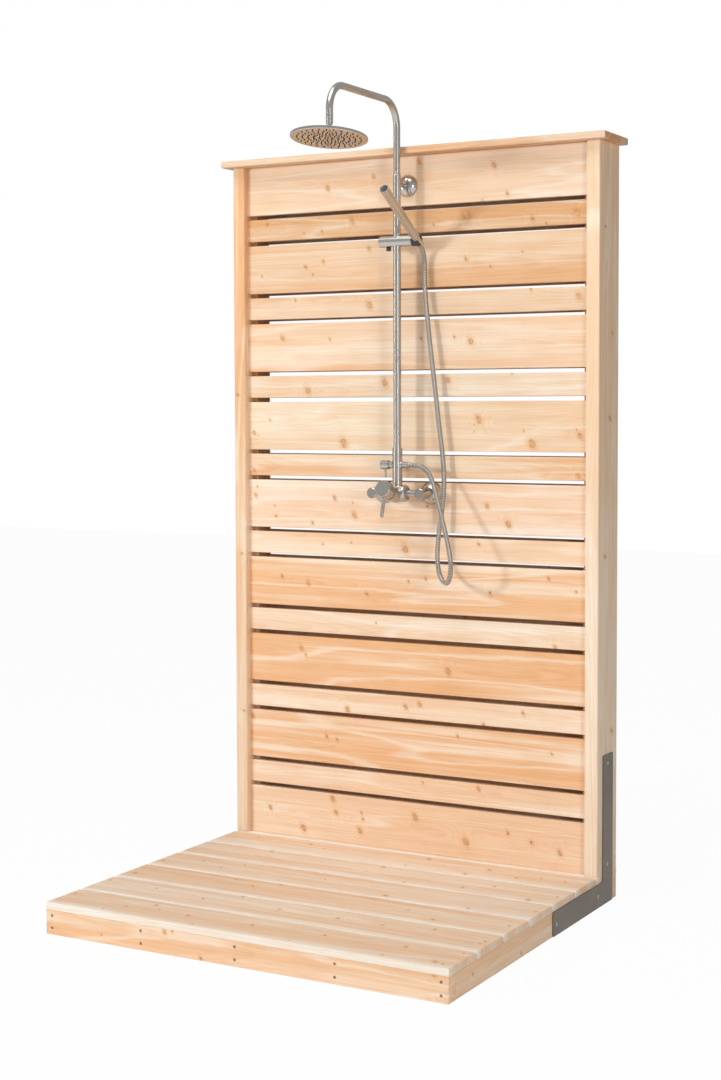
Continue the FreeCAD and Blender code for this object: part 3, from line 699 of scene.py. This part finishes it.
class SHOWER_OT_hose(Operator):
    """Ribbed metal hose from the diverter round its loop to the hand shower"""

    bl_idname = "shower_post.hose"
    bl_label = "Hose"

    def execute(self, context):
        start_clean()
        look = context.scene.hose
        line = self.centreline(context)
        lengths = [0.0]
        for before, after in zip(line, line[1:]):
            lengths.append(lengths[-1] + (after - before).length)
        hose, shares = self.tube(context, look, line, lengths)
        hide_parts("hose_fall", "hose_rise")
        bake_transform(hose)
        return {"FINISHED"}

    def centreline(self, context):
        """Points of the smooth curve that the route's corners steer."""
        curve = bpy.data.curves.new("hose_line", "CURVE")
        curve.dimensions = "3D"
        curve.resolution_u = 128
        spline = curve.splines.new("NURBS")
        spline.points.add(len(HOSE_ROUTE) - 1)
        for point, place in zip(spline.points, HOSE_ROUTE):
            point.co = (*(Vector(place) * MM), 1.0)
        spline.order_u = 3
        spline.use_endpoint_u = True
        holder = bpy.data.objects.new("hose_line", curve)
        context.scene.collection.objects.link(holder)
        context.view_layer.update()
        mesh = bpy.data.meshes.new_from_object(holder)
        line = [vertex.co.copy() for vertex in mesh.vertices]
        bpy.data.objects.remove(holder)
        bpy.data.curves.remove(curve)
        bpy.data.meshes.remove(mesh)
        return line

    def tube(self, context, look, line, lengths):
        """The ribbed tube, and a share for each of its points: 0 by the tee, a half at the loop's bottom,
        1 by the hand shower.
        """
        loop = Vector(LOOP_BOTTOM) * MM
        bottom = min(range(len(line)), key=lambda number: (line[number] - loop).length)
        low, high = lengths[bottom], lengths[-1]
        still, carried, fade = TEE_STRETCH * MM, SLIDER_STRETCH * MM, PLAIN_END * MM
        rings, shares = [], []
        side = Vector((0, 0, 1))
        mesh = bpy.data.meshes.new("hose")
        hose = bpy.data.objects.new("hose", mesh)
        context.scene.collection.objects.link(hose)
        build = bmesh.new()
        layer = build.verts.layers.float_vector.new("along")
        for number, place in enumerate(line):
            ahead = line[min(number + 1, len(line) - 1)] - line[max(number - 1, 0)]
            ahead.normalize()
            side = (side - ahead * side.dot(ahead)).normalized()
            other = ahead.cross(side)
            run = lengths[number]
            if run < low:
                share = 0.5 * eased(max(0.0, run - still) / (low - still))
            else:
                share = 0.5 + 0.5 * eased(min(1.0, (run - low) / (high - carried - low)))
            depth = look.groove * min(1.0, min(run, high - run) / fade)
            ring = []
            for step in range(look.sides):
                turn = 2 * math.pi * step / look.sides
                wave = 0.5 + 0.5 * math.cos(look.starts * (turn - 2 * math.pi * run / look.lead))
                radius = look.radius - depth * (1.0 - wave) ** 1.5
                out = side * math.cos(turn) + other * math.sin(turn)
                vertex = build.verts.new(place + out * radius)
                vertex[layer] = (run, turn, wave)
                ring.append(vertex)
                shares.append(share)
            rings.append(ring)
        for first, second in zip(rings, rings[1:]):
            for step in range(look.sides):
                after = (step + 1) % look.sides
                build.faces.new((first[step], first[after], second[after], second[step]))
        build.faces.new(list(reversed(rings[0])))
        build.faces.new(rings[-1])
        for face in build.faces:
            face.smooth = len(face.verts) == 4
        bmesh.ops.recalc_face_normals(build, faces=build.faces)
        build.to_mesh(mesh)
        build.free()
        mesh.materials.append(self.finish())
        return hose, shares

    def finish(self):
        """Polished ribs, and painted shade that darkens the grooves between them."""
        made = Finish("hose_steel")
        wave = made.parts(made.node("Attribute", output="Vector", attribute_name="along"))[2]
        cloudy = made.noise(made.stretched(made.place(), (60.0, 60.0, 20.0), (4.0, 1.0, 2.0)), 2.0)
        # Dark base colour in the grooves: painted shade.
        colour = made.mix(made.smooth(wave, 0.1, 0.75), (0.16, 0.14, 0.12, 1.0), (0.62, 0.595, 0.56, 1.0))
        made.set(Base_Color=colour, Metallic=1.0, Roughness=0.30 + cloudy * 0.12 - wave * 0.06)
        return made.material


def eased(share):
    """Slow at both ends, for the shares along the hose."""
    return share * share * (3 - 2 * share) * 0.8 + share * 0.2


class SHOWER_OT_timber(Operator):
    """Cedar of the wall, the deck and their frames, each board cut from its own tree"""

    bl_idname = "shower_post.timber"
    bl_label = "Timber"

    def execute(self, context):
        for number, knots in enumerate(SLAT_KNOTS):
            name = f"front_slat_{number + 1:02d}"
            pith = (18.0 * math.sin(number * 2.1), 40.0 + 18.0 * math.cos(number * 1.3))
            dress(name, cedar(name, "XZY", (0, SLAT_FACE, slat_middle(number)), number + 1.0,
                              SLAT_HEART[number], knots, None, pith, SLAT_TONE_AND_SHADE.get(number, (1, 1, 1))))
        for number, knots in enumerate(DECK_KNOTS):
            name = f"deck_board_{number + 1}"
            middle = DECK_FRONT + number * DECK_PITCH + WIDE / 2
            dress(name, cedar(name, "XYZ", (0, middle, DECK_TOP), number + 21.0, DECK_HEART[number],
                              knots, -WIDE / 2, (12.0 * math.sin(number), 50.0), (0.96, 1.0, 1.05), 0.85))
        dress("deck_joists", cedar("deck_joists", "YZX", (HALF_WIDTH, 0, RIM_MIDDLE), 33.0, 0.35,
                                   [(-120, -20, 7), (-392, 5, 6), (210, 8, 8)], None, (8.0, 38.0)))
        # The right post's tint makes it paler and cooler: painted light on its side, which the lamps
        # light too little.
        dress("right_post", cedar("right_post", "ZYX", (HALF_WIDTH, POST_MIDDLE, WALL_MIDDLE), 41.0, 0.25,
                                  [(250, 10, 12), (-120, -22, 9), (480, 25, 8), (-600, 30, 11),
                                   (760, -28, 7), (-860, 5, 8)], None, (-14.0, 48.0), (1.0, 1.04, 1.06)))
        dress("left_post", cedar("left_post", "ZXY", (-POST_LINE, POST_FRONT, WALL_MIDDLE), 42.0, 0.75,
                                 [(-150, 4, 6), (320, -6, 7), (-620, 8, 6)], tone_and_light=(0.93, 0.91, 0.87)))
        # The battens' tint is painted shade: it darkens them where they lie in shade behind the slats.
        for end, name in ((-1, "left_batten"), (1, "right_batten")):
            dress(name, cedar(name, "ZXY", (end * BATTEN_LINE, BATTEN_FACE, WALL_MIDDLE), 43.5 + end, 1.0,
                              tone_and_light=(0.75, 0.68, 0.6)))
        # The cap's tint darkens it: partly its own deeper tone, and partly painted shade, as its front
        # edge lies in shade.
        dress("top_cap", cedar("top_cap", "XYZ", (0, CAP_MIDDLE, CAP_TOP), 45.0, 1.0,
                               [(-300, 20, 9), (210, -30, 8), (440, 40, 7)], tone_and_light=(0.82, 0.77, 0.72)))
        dress("back_slats", cedar("back_slats", "XZY", (0, BACK_SLAT_FACE, WALL_MIDDLE), 46.0, 0.4,
                                  [(-260, 420, 12), (130, -310, 10), (340, 150, 9), (-90, -720, 11),
                                   (60, 700, 9)]))
        return {"FINISHED"}


class SHOWER_OT_metal(Operator):
    """Brushed metal of the shower set, raw steel of the brackets, plastics"""

    bl_idname = "shower_post.metal"
    bl_label = "Metal and plastic"

    def execute(self, context):
        upright = stainless("brushed_upright", "Z")
        level = stainless("brushed_level", "X")
        outward = stainless("brushed_outward", "Y", 0.16)
        turned = stainless("brushed_turned", "X", 0.22, 500.0)
        for node in ("riser_tube", "shower_arm", "diverter_body", "hand_shower", "hose_cone_nut",
                     "handle_lever", "rain_head_ball"):
            dress(node, upright)
        for node in ("slider", "diverter_knob", "mixer_body", "mixer_stem", "hose_nut"):
            dress(node, level)
        for node in ("top_rosette", "inlet_rosettes", "inlet_unions", "top_post"):
            dress(node, outward)
        dress("mixer_handle", turned)
        dress("rain_head", stainless("brushed_head", "Y", 0.18, 300.0))
        for node in ("left_bracket", "right_bracket"):
            dress(node, plate_steel())
        dress("slider_liner", plain("black_liner", (0.03, 0.034, 0.038, 1.0), 0.35))
        return {"FINISHED"}


class SHOWER_OT_nozzles(Operator):
    """Rubber nozzles of the rain head, in curved spokes"""

    bl_idname = "shower_post.nozzles"
    bl_label = "Nozzles"

    def execute(self, context):
        look = context.scene.small
        start_clean()
        tall = 0.0022
        bpy.ops.mesh.primitive_cone_add(vertices=10, radius1=0.0021, radius2=0.0014, depth=tall,
                                        location=(0, 0, -tall / 2), rotation=(math.pi, 0, 0))
        master = context.object
        bpy.ops.object.transform_apply(location=True, rotation=True, scale=True)
        pick(master, lambda face: face.normal.z < -0.9)
        bpy.ops.mesh.inset(thickness=0.0006)
        bpy.ops.mesh.extrude_region_move(TRANSFORM_OT_translate={"value": (0, 0, 0.0007)})
        bpy.ops.object.mode_set(mode="OBJECT")
        pivot = Matrix.Translation(Vector(HEAD_PIVOT) * MM)
        head = pivot @ Matrix.Rotation(math.radians(HEAD_TILT), 4, "X")
        places = []
        # The inner rings are thinner: a nozzle on every second spoke, then on every fourth.
        for ring in range(look.rings):
            out = OUTER_RING - ring * (OUTER_RING - INNER_RING) / (look.rings - 1)
            thinned = 1 if ring < 4 else 2 if ring == 4 else 4
            for spoke in range(0, look.spokes, thinned):
                angle = 2 * math.pi * spoke / look.spokes + ring * look.twist
                place = Vector((out * math.cos(angle), out * math.sin(angle), NOZZLE_FACE)) * MM
                places.append(head @ Matrix.Translation(place) @ Matrix.Rotation(angle, 4, "Z"))
        nozzles = repeated(master, "nozzles", places)
        settle(nozzles, plain("nozzle_rubber", (0.04, 0.05, 0.068, 1.0), 0.5))
        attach(nozzles, "rain_head")
        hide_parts("rain_head_nozzles")
        return {"FINISHED"}


class SHOWER_OT_screws(Operator):
    """Countersunk screw heads with a round recess, and the rim boards that they sink into"""

    bl_idname = "shower_post.screws"
    bl_label = "Screws and rim boards"

    def execute(self, context):
        look = context.scene.small
        rims, plates, cutters = [], [], []
        for across in JOIST_LINES:
            for level in RIM_SCREW_LEVELS:
                for end in (-1, 1):
                    face = Vector((across, end * DECK_BACK, level)) * MM
                    turn = Matrix.Rotation(math.pi if end > 0 else 0.0, 4, "Z")
                    rims.append(Matrix.Translation(face + Vector((0, -end * look.sink, 0))) @ turn)
                    cutters.append(Matrix.Translation(face))
        for end in (-1, 1):
            for back, level in BRACKET_SCREWS:
                face = Vector((end * BRACKET_FACE, back, level)) * MM
                plates.append(Matrix.Translation(face) @ Matrix.Rotation(end * math.pi / 2, 4, "Z"))
        metal = context.scene.metal
        head = repeated(self.head(context, look.rim_head), "rim_screw_heads", rims)
        settle(head, plain("waxed_screw", tuple(metal.screw), 0.35, 0.7))
        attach(head, "root")
        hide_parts("rim_screws")
        head = repeated(self.head(context, look.plate_head), "bracket_screw_heads", plates)
        settle(head, plain("bright_screw", (0.46, 0.44, 0.41, 1.0), 0.28, 1.0))
        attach(head, "root")
        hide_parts("bracket_screws")
        knots = [(-206, 26, 9), (-183, 30, 6), (-98, -26, 8), (539, 34, 10), (-400, -10, 4)]
        self.board(context, look, "front_rim", cutters, knots, 0.55)
        self.board(context, look, "rear_rim", cutters, [(150, 5, 9), (-330, -8, 7)], 0.4)
        return {"FINISHED"}

    def head(self, context, radius):
        """A screw head that looks to the front from the origin."""
        start_clean()
        deep = 0.0032
        bpy.ops.mesh.primitive_cone_add(vertices=20, radius1=radius, radius2=0.0022, depth=deep,
                                        location=(0, deep / 2, 0), rotation=(-math.pi / 2, 0, 0))
        head = context.object
        bpy.ops.object.transform_apply(location=True, rotation=True, scale=True)
        pick(head, lambda face: face.normal.y < -0.9)
        bpy.ops.mesh.inset(thickness=0.0004)
        bpy.ops.mesh.inset(thickness=radius * 0.45)
        bpy.ops.mesh.extrude_region_move(TRANSFORM_OT_translate={"value": (0, deep / 2, 0)})
        bpy.ops.object.mode_set(mode="OBJECT")
        return head

    def board(self, context, look, node, places, knots, heart):
        """A rim board with a shallow round pocket over each screw."""
        low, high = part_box(node)
        start_clean()
        bpy.ops.mesh.primitive_cylinder_add(vertices=20, radius=look.rim_head + 0.0004,
                                            depth=2 * look.sink)
        cutter = context.object
        bpy.ops.transform.rotate(value=math.pi / 2, orient_axis="X", center_override=(0, 0, 0))
        bpy.ops.object.transform_apply(location=True, rotation=True, scale=True)
        middle = (low.y + high.y) / 2
        own = [place for place in places if place.translation.y * middle > 0]
        cutter = repeated(cutter, "pockets", own)
        start_clean()
        bpy.ops.mesh.primitive_cube_add(size=1.0, location=(low + high) / 2, scale=high - low)
        board = context.object
        board.name = node + "_board"
        bpy.ops.object.transform_apply(location=True, rotation=True, scale=True)
        pick(board, lambda face: True)
        bpy.ops.mesh.bevel(offset=0.0015, segments=2, affect="EDGES")
        bpy.ops.object.mode_set(mode="OBJECT")
        cut = board.modifiers.new("pockets", "BOOLEAN")
        cut.object = cutter
        cut.solver = "EXACT"
        bpy.ops.object.modifier_apply(modifier=cut.name)
        bpy.data.objects.remove(cutter)
        face = DECK_FRONT if middle < 0 else DECK_BACK
        wood = cedar(node, "XZY", (0, face, RIM_MIDDLE), 31.0 + heart, heart, knots)
        settle(board, wood, 30.0)
        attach(board, "root")
        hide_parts(node)


class SHOWER_OT_thumb_screw(Operator):
    """Knurled screw under the slider"""

    bl_idname = "shower_post.thumb_screw"
    bl_label = "Thumb screw"

    def execute(self, context):
        look = context.scene.small
        start_clean()
        centre = Vector(THUMB_SCREW) * MM
        bpy.ops.mesh.primitive_cylinder_add(vertices=4 * look.knurls, radius=0.0069, depth=0.0086,
                                            location=centre)
        screw = context.object
        screw.name = "thumb_screw"
        bpy.ops.object.transform_apply(location=True, rotation=True, scale=True)

        def in_groove(face):
            out = face.calc_center_median() - centre
            step = int(round(math.atan2(out.y, out.x) / (2 * math.pi) * 4 * look.knurls - 0.5))
            return abs(face.normal.z) < 0.1 and step % 4 in (0, 1)

        pick(screw, in_groove)
        bpy.ops.mesh.extrude_region_shrink_fatten(TRANSFORM_OT_shrink_fatten={"value": -0.0007})
        pick(screw, lambda face: face.normal.z < -0.9 and len(face.verts) > 8)
        bpy.ops.mesh.inset(thickness=0.0016)
        bpy.ops.mesh.extrude_region_move(TRANSFORM_OT_translate={"value": (0, 0, 0.0009)})
        settle(screw, plain("black_knurl", (0.05, 0.07, 0.09, 1.0), 0.32))
        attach(screw, "slider_screw")
        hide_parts("slider_screw")
        return {"FINISHED"}


class SHOWER_OT_spray_face(Operator):
    """Dark spray plate sunk into the end of the hand shower"""

    bl_idname = "shower_post.spray_face"
    bl_label = "Spray plate"

    def execute(self, context):
        start_clean()
        axis = Vector(HAND_AXIS).normalized()
        sunk = 0.0009
        bpy.ops.mesh.primitive_cylinder_add(vertices=40, radius=0.0112, depth=0.0006,
                                            location=Vector(HAND_END) * MM - axis * sunk,
                                            rotation=axis.to_track_quat("Z", "Y").to_euler())
        plate = context.object
        plate.name = "spray_plate"
        bpy.ops.object.transform_apply(location=True, rotation=True, scale=True)
        pick(plate, lambda face: face.normal.dot(axis) > 0.9)
        for inset, lift in ((0.0012, 0.0), (0.0004, 0.0004), (0.0035, -0.0002), (0.0003, -0.0003)):
            bpy.ops.mesh.inset(thickness=inset)
            bpy.ops.transform.translate(value=axis * lift)
        settle(plate, plain("spray_plate", (0.035, 0.055, 0.05, 1.0), 0.12))
        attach(plate, "hand_shower")
        return {"FINISHED"}


class SHOWER_PT_panel(Panel):
    """Buttons for each group of pieces"""

    bl_label = "Shower Post"
    bl_idname = "SHOWER_PT_panel"
    bl_space_type = "VIEW_3D"
    bl_region_type = "UI"
    bl_category = "Shower Post"

    def draw(self, context):
        for name, group in GROUPS.items():
            box = self.layout.box()
            for setting in group.__annotations__:
                box.prop(getattr(context.scene, name), setting)
        for operator in OPERATORS:
            self.layout.operator(operator.bl_idname)


OPERATORS = (SHOWER_OT_stage, SHOWER_OT_hose, SHOWER_OT_timber, SHOWER_OT_metal, SHOWER_OT_nozzles,
             SHOWER_OT_screws, SHOWER_OT_thumb_screw, SHOWER_OT_spray_face)
GROUPS = {"cedar": CedarProperties, "metal": MetalProperties, "hose": HoseProperties,
          "small": SmallPartProperties, "stage": StageProperties}


def register():
    for name, group in GROUPS.items():
        bpy.utils.register_class(group)
        setattr(bpy.types.Scene, name, PointerProperty(type=group))
    for entry in (*OPERATORS, SHOWER_PT_panel):
        bpy.utils.register_class(entry)


def unregister():
    for entry in (SHOWER_PT_panel, *reversed(OPERATORS)):
        bpy.utils.unregister_class(entry)
    for name, group in GROUPS.items():
        delattr(bpy.types.Scene, name)
        bpy.utils.unregister_class(group)


def main():
    register()
    bpy.ops.shower_post.stage()
    bpy.ops.shower_post.hose()
    bpy.ops.shower_post.timber()
    bpy.ops.shower_post.metal()
    bpy.ops.shower_post.nozzles()
    bpy.ops.shower_post.screws()
    bpy.ops.shower_post.thumb_screw()
    bpy.ops.shower_post.spray_face()


if __name__ == "__main__":
    main()
